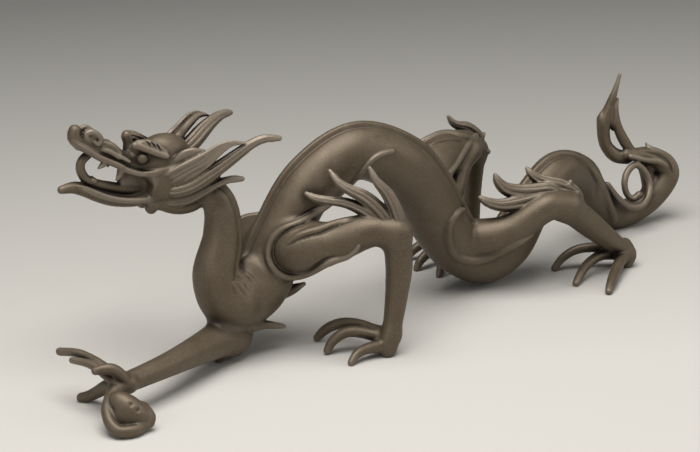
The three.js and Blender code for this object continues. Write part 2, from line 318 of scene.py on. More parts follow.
# The bead on the back at each of those stations: its height, and how far it leans to the near flank
BEAD_HEIGHT = [0.8, 0.8, 0.7, 0.4, 0, 0.8, 1.2, 1.2, 1.1, 1.1, 1.1, 1, 1, 1, 1, 1, 1.1, 0.5, 0, 0, 0, 0, 0, 0]
BEAD_LEAN = [
    0.1, 0.12, 0.15, 0.3, 0.5, 0.3, 0.22, 0.22, 0.22, 0.25, 0.25, 0.25, 0.25, 0.25, 0.25, 0.25,
    0.4, 1.05, 1.5, 1.5, 1.5, 1.5, 1.5, 1.5,
]
BEAD_WIDTH = 1.45
LEFT_FORELEG = [
    [-47, -12, 38, 8], [-46, -25, 40, 10.2], [-38, -35, 42.2, 7.8], [-28, -44.5, 47.2, 6.2],
    [-20.6, -50.5, 46.4, 5.1],
    [-19.6, -51, 34, 5], [-20.8, -50.6, 19, 4], [-23.5, -51.2, 7, 3.3],
]
RIGHT_FORELEG = [
    [-44, -13, 42, 7], [-50, -2, 35, 9], [-59.2, -7.8, 19, 8], [-70.6, -16.1, 9.2, 7.4], [-89.8, -23.6, 10.8, 5.6],
    [-108, -30, 12, 4.4], [-124, -33, 12, 3.8], [-132, -34, 12, 3.6],
]
LEFT_HINDLEG = [
    [40, -16, 20, 8], [43, -25, 22, 7.5], [52, -33, 25.2, 6.2], [66, -40, 34, 5.7], [74, -41.5, 32.5, 5.6],
    [88, -41.5, 21, 5], [99, -42, 12, 4], [106.4, -41.8, 7, 3],
]
RIGHT_HINDLEG = [
    [22, -21, 42, 7], [30, -12.5, 49.5, 8.6], [40, -7, 52, 8.2], [53, -1, 50.5, 6.8], [63, 4, 48, 5.4],
    [71, 8, 43, 4.6], [71, 9, 28, 3.8], [71, 9.5, 4, 3.2],
]

TOE_RADIUS = 2.1
TOE_TIP_RADIUS = 1.3
TOE_ARCH = 9.0
TIP_SINK = 0.4
HEEL_SIZE = [3.9, 3.4, 4.0]
HEEL_SINK = 1.2
LEFT_FORE_TOES = [
    [[-24.4, -49.4, 7.7, 2.6], [-26.2, -45, 8, 2.4], [-28.1, -39.5, 8.8, 2.25], [-30.8, -33.5, 8.6, 2.05],
     [-33.4, -29.2, 6.7, 1.95], [-35.4, -26.3, 3.9, 1.8], [-36.6, -24.8, 1.6, 1.5]],
    [[-24.4, -50.1, 6.1, 2.6], [-27.7, -46.8, 7.2, 2.4], [-31.2, -43.1, 8.2, 2.25], [-34.7, -40, 8.2, 2.05],
     [-37.6, -38.3, 6.7, 1.95], [-40, -37.2, 4.4, 1.8], [-41.6, -36.8, 1.6, 1.5]],
    [[-24.4, -51.5, 3.4, 3], [-28.6, -50.5, 4.2, 2.5], [-33.5, -49.7, 4.3, 2], [-37.7, -49.5, 3.6, 1.8],
     [-40.2, -49.9, 2.3, 1.5], [-41.6, -50.2, 1.1, 1.3]],
]
LEFT_HIND_TOES = [
    [[103.6, -39.4, 6.6, 2.6], [96.2, -34.2, 8.1, 2], [89.9, -30.6, 7.3, 1.8], [85.1, -28.8, 4.7, 1.6],
     [81.3, -28.2, 1.2, 1.3]],
    [[104.3, -40.5, 5.4, 2.6], [94.4, -40.3, 6.8, 2.1], [86, -41.6, 5.4, 1.9], [80.3, -43.7, 3.3, 1.7],
     [76.3, -45.5, 1.2, 1.4]],
    [[106.4, -42.2, 5.7, 2.8], [99.2, -46.4, 4.8, 2.3], [90.7, -52.1, 3.6, 2.1], [83.5, -57.2, 2.5, 1.8],
     [79.8, -59.9, 1.2, 1.4]],
]
LEFT_HIND_HEEL = [[106.8, -41.2, 8.6, 2.9], [107.6, -43.3, 4.8, 3], [106.5, -43, 1.8, 2.6]]
LEFT_FORE_PALM = [[-23.5, -51.2, 7.5, 3.4], [-25.4, -50.9, 4.4, 3.5], [-25.6, -51.6, 2.2, 3]]
FEET = [
    ([72, 9.5], [[42, -4], [40, 7], [45, 18]]),
]

RIGHT_FORE_TOES = [
    [[-132.9, -32, 14.5, 2.4], [-133.5, -26.4, 16.4, 2], [-134, -20, 17.5, 1.7], [-135.1, -13.2, 18, 1.55],
     [-137.8, -5.9, 17, 1.5]],
    [[-134.2, -33.9, 14, 2.4], [-135.3, -29.5, 15.6, 1.9], [-136.1, -25.4, 16.8, 1.6], [-137.1, -20.2, 17.2, 1.4],
     [-138.7, -14.9, 16.8, 1.25]],
    [[-130.4, -35.6, 12.2, 2.6], [-132.6, -35.6, 15.8, 2.3], [-135.5, -34.7, 18.8, 2.1], [-138.6, -33.2, 19.3, 1.9],
     [-141, -32.1, 19, 1.5]],
    [[-131.4, -30.9, 10.7, 2.8], [-131.6, -25.1, 8.1, 2.6], [-132, -19.5, 4.4, 2.2], [-133.4, -16.5, 2.3, 2],
     [-135, -14.2, 1.4, 1.8]],
]
RIGHT_FORE_PALM = [
    [-129.6, -35.6, 12, 3.2], [-132.6, -35, 11.6, 3.2], [-136.6, -36.4, 10.5, 3], [-138, -40.1, 8.8, 3],
]
# The thumb is rolled up: a ball, a band round under it, and a lobe at its end
THUMB_AXES = np.array([[0.481, -0.672, -0.564], [0.636, -0.176, 0.752], [0.604, 0.720, -0.342]])
THUMB_BALL = [-136.3, -45.3, 7.9]
THUMB_BALL_SIZE = [8.0, 4.4, 4.4]
THUMB_CORE = [-138.6, -45.6, 5.4]
THUMB_CORE_SIZE = [6.4, 4.2, 2.8]
THUMB_BAND = [
    [-138.9, -37.3, 10.4, 2], [-141.7, -39.4, 8.1, 2.1], [-143.6, -42.4, 6.2, 2.1], [-144.2, -45.4, 4.2, 2.2],
    [-143.2, -48.4, 2.6, 2.3], [-140.8, -49.9, 2.2, 2.3], [-137.8, -50.6, 2.2, 2.2], [-134.4, -50, 2.8, 1.9],
]
THUMB_LOBE = [[-132, -46.9, 7.9, 2], [-131, -49.4, 4.8, 2.1], [-131.8, -50.2, 3.2, 1.9]]
THUMB_SLIT = [
    [-142.4, -43.2, 9.1, 0.6], [-143.6, -46.9, 7.1, 1.2], [-142.6, -49.2, 5.7, 1.2], [-140.8, -52, 5.3, 0.6],
]
THUMB_PITS = [[-137.8, -48.5, 11.2], [-136.3, -50.3, 9.1]]
ELBOW_STUD = [[-76.6, -17, 8, 3], [-76.8, -17.2, 2.8, 2.7]]

ELBOW_LOCKS = [
    [[-22.6, -49.4, 47.4, 2.6], [-25.9, -46.1, 51.4, 3], [-29.6, -41.4, 55, 2.4], [-33.4, -36.8, 57.1, 2],
     [-37.4, -32.5, 57.6, 1.7],
     [-40.6, -28.7, 58.3, 1.5], [-42.4, -26.1, 59.6, 1.1]],
    [[-20.6, -50.6, 46.4, 2.6], [-22.9, -48.8, 50.6, 3.1], [-26.4, -45.5, 56.5, 2.9], [-29.4, -42.3, 60, 2.6],
     [-32.4, -39.1, 62.1, 2.1], [-34.9, -35.7, 64.5, 1.6], [-36.3, -32, 68.5, 1]],
    [[-19.8, -51.4, 43, 2.4], [-20.2, -51.7, 48, 2.9], [-20.9, -50.4, 54.5, 2.7], [-22.9, -47.9, 61.1, 2.3],
     [-25.6, -45, 65.9, 1.6], [-26.9, -43, 70.4, 0.95]],
]
KNEE_LOCKS = [
    [[71.5, -40.6, 34, 2.4], [66.3, -38, 37.1, 3.3], [60.3, -35.1, 36.2, 3.5], [54.8, -32.6, 35.4, 3.2],
     [49.4, -30, 35.4, 2.5], [45.2, -27.7, 36.9, 1.9], [42.9, -26.1, 38.7, 1.2]],
    [[73, -40.6, 34.6, 2.4], [68.5, -38.1, 39, 3.3], [63, -34.7, 38.9, 3.5], [57.7, -31.4, 39.2, 3.2],
     [53.1, -28.9, 41, 2.6], [50.8, -27.2, 44, 1.9], [50.1, -26.6, 46.4, 1.1]],
    [[81, -42.2, 30.5, 2.2], [77.1, -41.6, 37.4, 3], [72.9, -38.5, 40, 3.2], [69.2, -35.6, 41.4, 2.9],
     [66.1, -32.9, 43.1, 2.3], [64.2, -31.1, 45.5, 1.6], [63.4, -30.1, 47.1, 1]],
    [[73, 7.4, 44.6, 1.8], [71.5, 6.8, 49, 2.3], [68.7, 7, 51.8, 2.5], [65.1, 7.4, 54.2, 2.4],
     [61.7, 7.6, 55.4, 1.9], [58.7, 7.8, 57.3, 1.5], [56.5, 7.7, 60.2, 0.9]],
]
SPURS = [
    [[73.6, -41, 38, 1.6], [75.4, -41.8, 42.3, 0.7]], [[75, -42.5, 35, 1.4], [77.2, -44.4, 38.2, 0.6]],
    [[71, 7, 46, 2.4], [73.9, 5.9, 49.8, 0.8]], [[70.6, 6, 43.6, 2.6], [73.6, 3, 43.2, 1.1]],
]
ELBOW_TUFTS = [
    [[-65.2, -22.6, 12.9, 2.2], [-60.4, -23.5, 12.5, 1.7], [-55.1, -23.9, 10.9, 1.3], [-51.2, -23.4, 9.5, 0.9]],
    [[-54, -17, 19, 2.6], [-46, -21.5, 22, 2], [-42.4, -24.4, 24.2, 0.8]],
]

RIMS = [
    [[-6, -31.4, 69.4, 0.9], [-11.6, -30.9, 69, 1.05], [-15.3, -30.3, 67.4, 1.1], [-18.4, -29, 63.9, 1.1],
     [-20.6, -26.7, 59.9, 1.1], [-23.6, -24, 55.7, 1.1], [-28.6, -23.6, 52.5, 1.2], [-35.6, -25.4, 51.4, 1.3],
     [-41.3, -26.9, 50.6, 1.4], [-46.5, -27.4, 50, 1.4], [-50.1, -26.1, 49, 1.4], [-52.6, -24.4, 47.7, 1.45],
     [-55.1, -22.8, 45.1, 1.5], [-56.9, -22.4, 41.3, 1.5], [-57.9, -23.4, 37.5, 1.5], [-57.4, -25.6, 33.9, 1.5],
     [-55, -26.9, 31.6, 1.5], [-51.1, -28, 30.2, 1.5], [-48, -30.5, 30.8, 1.45], [-46.1, -33.9, 32.8, 1.4],
     [-44.2, -38.6, 36.3, 1.4], [-40.6, -41.4, 38.1, 1.3], [-37.4, -43.2, 39, 1.1], [-35.7, -45.4, 41.4, 0.9],
     [-35, -46.8, 43.6, 0.6]],
    [[32.7, -28, 37, 0.7], [26.7, -31, 37.6, 1.4], [23.2, -31.2, 34.7, 1.6], [23.3, -29.9, 29.5, 1.7],
     [25.9, -28.5, 23.3, 1.7], [30.6, -27.9, 17.9, 1.7], [38.1, -29.1, 15, 1.7], [44.5, -31.4, 16, 1.8],
     [48.1, -35.2, 19.2, 1.7], [52.7, -38.5, 22.1, 1.4], [57.9, -39.6, 24, 0.7]],
    [[31, -5.6, 58.6, 1.1], [35.6, -6, 59.6, 1.25], [40.1, -6.2, 60.1, 1.3], [44.6, -6.9, 59.6, 1.3],
     [48.1, -7.7, 58.1, 1.2], [53.1, -6.4, 56, 1]],
    [[64.8, 0.6, 52.2, 1.2], [55.8, -6.4, 53.6, 1.3], [49.5, -10.7, 53.5, 1.3], [44.3, -13.9, 52.7, 1.3],
     [38.4, -17.4, 51.2, 1.2], [32.8, -20.8, 50.4, 1.1], [28, -23.5, 50, 1]],
    [[-40, 0, 44, 1.4], [-48, 6, 41.5, 1.6], [-55, 4, 34, 1.6], [-58, -1, 26, 1]],
    [[100.8, -21.5, 41, 0.8], [107.6, -22.8, 33.3, 1.3], [117.8, -17.8, 22.8, 1.5], [122.2, -16.6, 16.1, 1.6],
     [125.6, -15.6, 10.9, 1.7], [128.4, -13.8, 6.7, 1.7]],
]
ARM_BORDER = [
    [-53.1, -29, 44.3, 1], [-50.7, -30.6, 46.2, 1.5], [-47.2, -32.5, 47.4, 1.8], [-43, -34.4, 48.1, 1.9],
    [-38.7, -36.2, 49.5, 1.7], [-34.8, -38.8, 51, 1.3], [-32, -40.6, 52, 0.8],
]
CREASES = [
    [[-44.6, -29.4, 50, 0.3], [-48.1, -29.1, 49.5, 0.5], [-50.8, -27.6, 48.6, 0.5], [-53.5, -25.9, 46.6, 0.45],
     [-55.8, -24.5, 43.5, 0.45], [-56.8, -24.5, 40.1, 0.45], [-56.6, -26, 36.2, 0.45], [-54.6, -27.6, 33.5, 0.45],
     [-51.4, -29.1, 31.8, 0.5], [-47.8, -33.9, 33.8, 0.5], [-46.5, -36.9, 36.4, 0.5], [-44.2, -39.3, 38.7, 0.4],
     [-41.7, -41.3, 39.7, 0.2]],
    [[-54.6, -29.4, 43.2, 0.2], [-51.6, -32.2, 45.5, 0.4], [-48.2, -34.3, 46.8, 0.45], [-44.4, -36.2, 47.6, 0.45],
     [-39.2, -38.3, 49.5, 0.4], [-34.1, -42, 51.8, 0.2]],
    [[30.6, -11.6, 58.4, 0.2], [33.1, -11.9, 59.3, 0.35], [38.2, -11.9, 59.2, 0.4], [43.2, -11.6, 57.9, 0.35],
     [47.6, -10.4, 56.3, 0.3]],
]
# Wax worked into the bottom of the fold between neck and chest
FOLD_FILL = [[-63.7, -17.4, 34.4, 3], [-67.2, -20.1, 31.4, 4], [-69.8, -22.2, 28, 4.5], [-71.5, -24.3, 23.7, 4.5]]
FOLD_BALL = [-64.1, -21, 27.8]
SCRATCHES = [
    [[-67, -23, 34.7, 0.15], [-66.5, -24.3, 33.5, 0.3], [-65.8, -25.4, 32.1, 0.15]],
    [[-68.5, -23.5, 34.2, 0.15], [-68, -24.8, 32.7, 0.3], [-67.3, -25.8, 31.4, 0.15]],
    [[-75.8, -24.6, 33.7, 0.15], [-73.8, -24.4, 33.5, 0.3], [-72.3, -24.4, 33, 0.15]],
    [[-75.9, -25.1, 31.7, 0.15], [-75.5, -25.8, 30, 0.3], [-75.4, -26.4, 28.5, 0.15]],
    [[-74, -24.9, 32.5, 0.15], [-73.5, -25.9, 30.9, 0.3], [-73.3, -26.8, 29.3, 0.15]],
    [[-72.7, -26.4, 30.3, 0.15], [-72.6, -27.2, 28.9, 0.3], [-72.3, -27.8, 27.7, 0.15]],
    [[-71.1, -25, 32.4, 0.15], [-70.7, -26.3, 30.7, 0.3], [-70.5, -27.4, 28.8, 0.15]],
    [[-66.2, -17.1, 36.6, 0.15], [-67.5, -20.6, 35.9, 0.3], [-68.3, -22.8, 34.6, 0.15]],
    [[-73.4, -23.2, 39.1, 0.15], [-72.9, -22.9, 36, 0.3], [-74.3, -24.2, 34.2, 0.15]],
    [[-71.7, -23.2, 34.6, 0.15], [-71.5, -24.1, 33.5, 0.3], [-70.8, -24.6, 32.8, 0.15]],
    [[-47.8, -24.7, 50.6, 0.25], [-44.8, -25.3, 51.4, 0.3], [-40.5, -25.7, 52.5, 0.5], [-36.4, -25.9, 53.8, 0.3]],
]
THIGH_UNDERSIDE = [[56, -6, 50, 4.5], [49.4, -8.5, 46.5, 4], [42.5, -12.8, 38.4, 3.4], [36, -16, 32, 3]]

FIN_BLADES = [
    [[142, -6.4, 28.4, 2.8], [137.9, -4.3, 29.6, 2.9], [134.9, -2.1, 33.4, 2.6], [133.7, -1.2, 38.5, 2.6],
     [133.7, -1.2, 43.3, 2.7], [135.3, -1.3, 47.5, 2.3], [137, -1.7, 52.3, 1.75], [138.6, -2.4, 57.5, 1.15],
     [140.2, -3, 63.5, 0.7]],
    [[146.7, -9.7, 27.9, 2], [143.8, -8.1, 30.6, 1.9], [140.7, -6, 35.8, 2.2], [138.9, -4.1, 41.3, 1.9],
     [138.6, -3, 45.4, 1.6], [138.6, -2.5, 49.5, 1.35], [139.6, -2.7, 53, 0.65]],
    [[138.1, -2.4, 41.3, 1.6], [137, -2.2, 45, 2], [136.8, -2.2, 49.3, 1.7]],
    [[133.3, -0.7, 42.2, 2.1], [132.7, -0.4, 45.7, 1.7], [133.9, -0.2, 48.5, 0.6]],
]
FOLD_RIDGES = [
    [[150.5, -9, 33.3, 0.5], [151.5, -10.4, 31.6, 0.9], [154.8, -12.8, 29.8, 1.1], [159.5, -14.7, 26.4, 1.1],
     [160.9, -16.7, 22.3, 1], [159.3, -17.5, 18.6, 0.7]],
    [[140.9, -10.1, 29.9, 1], [147.4, -11.7, 27.4, 1.2], [152.6, -13.8, 26.2, 1.2], [156.4, -15.6, 23.9, 0.8]],
]
FOLD_GROOVE = [
    [145.1, -11, 31.6, 0.4], [152.7, -13.7, 29, 0.6], [157.2, -15.9, 25.4, 0.5], [158.3, -17.1, 21.1, 0.4],
]
FOLD_WEB = [[151, -7, 25.5, 3], [152.5, -8.5, 20, 3.2], [153, -9.5, 14, 3]]
TENDRIL_RING = [
    [121.6, -16.4, 23.7, 1.3], [127.9, -17, 16.3, 1.3], [134.1, -17.9, 11.7, 1.4], [139.4, -18.6, 11.4, 1.4],
    [144.5, -17.3, 14.3, 1.4], [147.1, -15.2, 18.4, 1.4], [146.1, -12.9, 23.4, 1.4], [142.8, -11.1, 26.3, 1.4],
    [138.3, -11.1, 24.4, 1.4], [135.3, -12.4, 20.2, 1.35], [136.1, -13.6, 15.4, 1.3], [138.1, -15.1, 13.7, 1.3],
    [140.6, -15.7, 15, 1.6],
]

HEAD_CENTRE = np.array([-90.0, -4.0, 75.0])
HEAD_YAW = math.radians(10)
AHEAD = np.array([-math.cos(HEAD_YAW), math.sin(HEAD_YAW), 0.0])
HEAD_AXES = np.array([AHEAD, np.cross([0, 0, 1], AHEAD), [0, 0, 1]])


def on_head(stations, side=1):
    """Stations given from the middle of the skull, forward, left and up, moved to where the head is."""
    stations = np.array(stations, float)
    stations[:, 1] *= side
    stations[:, :3] = HEAD_CENTRE + stations[:, :3] @ HEAD_AXES
    return stations


UPPER_JAW = [
    [4, 0, 2.6, 5.6], [13, 0, 3.6, 3.6], [17, 0, 5.3, 3.2], [20, 0, 8, 3.3], [22.8, 0, 9.9, 3.1], [27, 0, 11.8, 3],
    [32, 0, 14.8, 2.6],
]
NOSE = [[33.6, 0, 18.3, 2.3], [33.8, 0, 16.6, 2.6], [31.8, 0, 13.4, 2.5]]
# The lip runs on past the corner of the mouth as a ridge across the cheek
UPPER_LIP = [
    [34.8, 1.8, 15.4, 0.9], [33.4, 2.2, 13.6, 1.2], [31, 2.5, 11.9, 1.3], [28.8, 2.7, 10.4, 1.3],
    [26.3, 3, 8.5, 1.25],
    [23, 3.4, 6.6, 1.25], [19.4, 3.8, 4.6, 1.25], [16.4, 4.2, 2.5, 1.2], [13.4, 4.7, 1.1, 1.15],
    [10.4, 5.3, 0.2, 1.1],
    [6.4, 6.1, 0.2, 1.1], [0.9, 7.1, 1, 1.1], [-5, 8.2, 3.2, 0.8],
]
NOSTRIL = [
    [30, 2.2, 15.4, 1], [30.6, 2.6, 17.3, 1], [28.6, 2.9, 18, 1.1], [26.4, 3.1, 16.7, 1.1],
    [25.2, 3, 14.8, 1.05], [26.2, 3, 13.2, 1], [27.6, 3.1, 14.2, 0.8],
]
SNOUT_FOLDS = [
    [[23, 1.5, 12.6, 0.9], [20.4, 2.1, 11.2, 1.3], [17.8, 2.6, 8.5, 1]],
    [[20.4, 3.2, 8.6, 0.7], [17.6, 3.7, 7, 0.9], [15, 4.2, 5.2, 0.7]],
    [[24.8, 2.8, 10.8, 0.8], [21.8, 3.3, 9.6, 1], [19, 3.7, 7.2, 0.8]],
]
LOWER_JAW = [
    [2, 0, -8.5, 5], [13.7, 0, -9.3, 3.7], [20.8, 0, -8, 3.3], [26.1, 0, -5.9, 2.9], [30.9, 0, -3.6, 2.5],
    [35.2, 0, -2.2, 2.1], [39.4, 0, -2.3, 1.5],
]
MOUTH_FLOOR = [
    [30.5, 1.2, -1.4, 0.9], [26, 1.8, -3, 1.4], [21, 2.2, -5, 1.8], [15, 2.8, -6.4, 2.4], [10.5, 3.6, -6, 2.6],
]
LOWER_LIP = [
    [33.5, 1.7, -1.7, 0.6], [31.2, 2.2, -2.5, 0.85], [27.6, 2.9, -4.6, 0.95], [23.1, 3.5, -6.9, 1],
    [17, 4.2, -8.9, 1.1], [10, 4.8, -9.8, 1.2], [4, 4.6, -9.6, 1.2],
]
TONGUE = [
    [7, 0, -7, 1.8], [14, 0, -6.4, 1.9], [21.2, 0, -4.2, 1.9], [26, 0, -2.4, 1.75], [29.6, 0, -0.3, 1.7],
    [31.4, 0, 2.3, 1.7],
    [32, 0, 4.8, 1.65], [31.3, 0, 7, 1.6], [28, 0, 9.5, 1.6],
]
BROW = [[11.6, 4.3, 11.4, 1.3], [8.2, 4.9, 10.8, 1.7], [4.8, 5.7, 9.2, 1.6], [2.2, 6.6, 7.2, 1.1]]
BROW_ROLL = [[13.1, 5, 11.1, 1.3], [9.4, 5.9, 9.4, 1.25], [5.4, 6.7, 7.4, 1.2], [1.9, 7.4, 5.9, 1]]
LASHES = [
    [[8.8, 5.7, 12.2, 0.4], [7.8, 6.6, 10.4, 0.35]], [[7, 6.1, 11.4, 0.4], [6, 7, 9.6, 0.35]],
    [[5.2, 6.5, 10.3, 0.4], [4.2, 7.3, 8.5, 0.35]],
]
FAR_BROW = [[11.9, -4, 12.5, 1.5], [9, -4.4, 11.3, 1.9], [6, -5.2, 9.4, 1.9], [2, -6.6, 7, 1.4]]
FAR_BROW_STEM = [[12.2, -3.8, 11.6, 1.8], [11.6, -3.4, 9.4, 1.9], [12, -3, 7, 2]]
CHEEK_FOLD = [[8, 4.6, -0.6, 1.4], [5.4, 4.9, -4.6, 1.9], [5.4, 4.7, -8.4, 1.9], [7.4, 4.2, -10.8, 1.2]]
EAR = [[-1.4, 7.6, 4.6, 0.8], [-4.2, 8.6, 6.5, 1.1], [-7.6, 9.5, 7.2, 1], [-11.1, 10, 6.4, 0.5]]
JAW_LOCK = [
    [2.7, 5.2, -11, 1.7], [-1.4, 6, -12.2, 1.8], [-6.5, 7.4, -11.6, 1.75], [-12.2, 9, -8.8, 1.65],
    [-17.3, 10.4, -6.3, 1.5], [-21.4, 11.2, -5.5, 1.4], [-25.3, 12, -5.8, 1.25],
]
BEARD = [[3.5, 3.8, -12.2, 2.6], [-2.8, 4, -14.6, 2.9], [-8.6, 4, -15, 2.8], [-14, 4, -13.4, 2.3]]
FORE_FANG = [[23.6, 3, 6.8, 1.3], [24.6, 3, 5.4, 1.1], [26.4, 3.1, 4.4, 0.5]]
BACK_FANG = [[17.8, 3.5, 3.4, 1.5], [18.4, 3.6, 1.2, 1.3], [19.8, 3.6, -0.8, 0.55]]
NEAR_RIBBON_TOP = [
    [5, 6, -1.4, 0.7], [2.4, 7.3, -0.6, 0.8], [-3.2, 9.6, 2.4, 0.8], [-10, 11.4, 5.5, 0.8], [-16.2, 13, 8.8, 0.75],
    [-20.8, 14, 9.6, 0.65], [-26.3, 15, 8.4, 0.5],
]
NEAR_RIBBON_FOOT = [
    [3, 6.2, -5.6, 0.7], [-0.6, 7.8, -4.9, 0.8], [-5.8, 9.8, -2, 0.8], [-11.9, 11.8, 1.4, 0.8],
    [-16, 13.2, 5.4, 0.75],
    [-20.6, 14.3, 8.2, 0.65], [-25.9, 15.1, 8.3, 0.5],
]
NEAR_LOCK = [
    [2, 6.2, -7.2, 2], [-1.4, 7.6, -7.3, 2.5], [-6.9, 9.2, -5.8, 2.7], [-12.5, 10.8, -2.4, 2.8],
    [-18.2, 12.5, 1.3, 2.5],
    [-23.9, 14, 5.2, 2.1], [-28.2, 15, 7.9, 1.8], [-32.7, 15.8, 9.2, 1.6], [-38, 16.6, 8.6, 1.3],
]
# Wax behind the locks, where they lie against each other
MANE_BACKING = [
    [[-2, 7.4, -4.8, 2], [-7.5, 9, -2.8, 2], [-11.6, 10.4, 0.1, 1.6]],
    [[-3, 5, -9.6, 3], [-8, 6, -8.6, 3], [-12.4, 7.6, -5.6, 2.6], [-16.4, 9.4, -2.6, 2]],
    [[-1, 6.4, 3, 1.6], [-4.8, 8, 4.6, 1.7], [-8.4, 9.2, 5.6, 1.4], [-11, 10, 6, 0.8]],
]
FAR_RIBBON_TOP = [
    [0, -6, 4, 1], [-6.3, -7, 8.9, 1], [-11.4, -10, 10.7, 1], [-16.2, -12.5, 12.5, 0.9], [-20.8, -14.5, 12.7, 0.8],
    [-24.2, -15.5, 11.4, 0.7], [-26.1, -16, 10.3, 0.6],
]
FAR_RIBBON_FOOT = [
    [-3, -6, -1, 1], [-10.7, -7.5, 6, 1], [-14.1, -10, 7.4, 1], [-18.3, -12.5, 9.2, 0.9], [-21.8, -14.5, 10.2, 0.8],
    [-24.5, -15.5, 10.2, 0.7], [-26.4, -16, 10, 0.6],
]
FAR_LOCK = [
    [-2, -6, -4, 2.8], [-10, -6.6, 0.8, 3.1], [-16, -8, 3.9, 3.2], [-20.6, -10, 6.3, 3], [-25, -12, 8.3, 2.5],
    [-29.6, -14, 9.6, 2], [-33, -15.2, 9.9, 1.6], [-35.6, -16.2, 9.5, 1.35],
]
RIBBON_STRANDS = 4
BROW_STRANDS = 8


def egg_on_head(wax, centre, radii, side=1, blend=1.0):
    wax.press(on_head([[*centre, 0]], side)[0][:3], radii, blend, HEAD_AXES)


def scoop_on_head(wax, centre, radii, side=1, blend=1.0):
    wax.hollow(on_head([[*centre, 0]], side)[0][:3], radii, blend, HEAD_AXES)


def moved(stations, ahead, left, up):
    """The same row of stations, shifted."""
    return [[x + ahead, y + left, z + up, r] for x, y, z, r in stations]


def model_head(wax):
    egg_on_head(wax, [0, 0, 3.4], [10.5, 7.2, 8.4])
    egg_on_head(wax, [9, 0, -1.5], [9, 4.6, 6.5])
    egg_on_head(wax, [8.3, 0, 6.8], [4, 5, 3.6])
    wax.roll(on_head(UPPER_JAW), 1.2)
    wax.roll(on_head(LOWER_JAW), 1.5)
    wax.roll(on_head(NOSE), 0.8, spacing=1)
    for side in (1, -1):
        egg_on_head(wax, [1.5, 4.2, -5], [7, 4.2, 7.5], side, 2)
        scoop_on_head(wax, [13.4, 5.2, -3.4], [7.2, 4.3, 5.3], side, 0.8)
        wax.score(on_head(MOUTH_FLOOR, side), 0.6)
    egg_on_head(wax, [8, 0, -3], [8, 1.4, 6.5])
    wax.roll(on_head(TONGUE), 0.5, spacing=1)
    for side in (1, -1):
        wax.roll(on_head(UPPER_LIP, side), 0.7, spacing=1)
        wax.roll(on_head(LOWER_LIP, side), 0.7, spacing=1)
        egg_on_head(wax, [28, 1.8, 15.4], [2.2, 1.6, 2.2], side, 0.6)
        wax.roll(on_head(NOSTRIL, side), 0.3, spacing=0.7)
        for fold in SNOUT_FOLDS:
            wax.roll(on_head(fold, side), 0.5, spacing=1)
        egg_on_head(wax, [27.4, 1.2, -0.6], [1.2, 1, 1.1], side, 0.4)
        egg_on_head(wax, [6.7, 3.6, -13.2], [2.4, 2.2, 2.7], side, 0.6)
        wax.roll(on_head(BEARD, side), 1)
        wax.roll(on_head(CHEEK_FOLD, side), 1.5, spacing=1)
        lay_lock(wax, on_head(JAW_LOCK, side), 6, 0.6)
        wax.roll(on_head(EAR, side), 0.5, spacing=1)
        scoop_on_head(wax, [10.4, 5.6, 5.4], [2.7, 2.2, 2.6], side, 0.4)
        egg_on_head(wax, [10.5, 5, 6], [2.1, 2.1, 2.1], side, 0.2)
        tooth_lift = 0 if side > 0 else 3
        wax.roll(on_head(moved(FORE_FANG, 0, 0, tooth_lift), side), 0.4, spacing=1)
        wax.roll(on_head(moved(BACK_FANG, 0, 0, tooth_lift), side), 0.4, spacing=1)
    wax.roll(on_head(BROW), 0.6, spacing=1)
    wax.roll(on_head(BROW_ROLL), 0.3, spacing=1)
    for lash in LASHES:
        wax.score(on_head(lash), 0.3)
    wax.roll(on_head(FAR_BROW), 0.6, combed_brow, spacing=1)
    wax.roll(on_head(FAR_BROW_STEM), 0.8)
    for row in MANE_BACKING:
        wax.roll(on_head(row), 1)
        wax.roll(on_head(row, -1), 1)
    lay_lock(wax, on_head(NEAR_LOCK), 8, 0.6)
    lay_lock(wax, on_head(FAR_LOCK), 8, 0.6)
    model_ribbon(wax, NEAR_RIBBON_TOP, NEAR_RIBBON_FOOT, -1)
    model_ribbon(wax, FAR_RIBBON_TOP, FAR_RIBBON_FOOT, 1)


def lay_lock(wax, stations, count, blend):
    """A lock of hair: strands round a core, all drawn out to one tip."""
    points, radii = rail(stations, 2)
    normals, binormals = ways_across(points, FLANK)
    wax.roll(np.column_stack([points, 0.8 * radii]), blend)
    thick = math.sin(math.pi / count)
    spread = np.ones((len(points), 1))
    spread[0], spread[-1] = 0.4, 0.35
    for k in range(count):
        turn = 2 * math.pi * (k + 0.5) / count
        out = math.cos(turn) * normals + math.sin(turn) * binormals
        size = np.maximum(1.05 * thick / (1 + thick) * radii, 0.3)
        places = points + (radii - size)[:, None] * spread * out
        wax.roll(np.column_stack([places, size]), 0.08)


def model_ribbon(wax, top, foot, inward):
    """A flat lock of hair: strands side by side between its two edges, on a thin backing."""
    top, foot = on_head(top), on_head(foot)
    inside = inward * HEAD_AXES[1]
    width = np.linalg.norm(top[:, :3] - foot[:, :3], axis=1)
    backing = 0.5 * (top + foot)
    backing[:, 3] = 0.25 * width + 0.3
    backing[:, :3] += (backing[:, 3:] + 0.1) * inside
    wax.roll(backing, 0.5, spacing=1.2)
    for share in np.linspace(0, 1, RIBBON_STRANDS):
        strand = (1 - share) * top + share * foot
        strand[:, 3] = np.maximum(0.53 * width / (RIBBON_STRANDS - 1), 0.4)
        wax.roll(strand, 0.08, spacing=1.2)


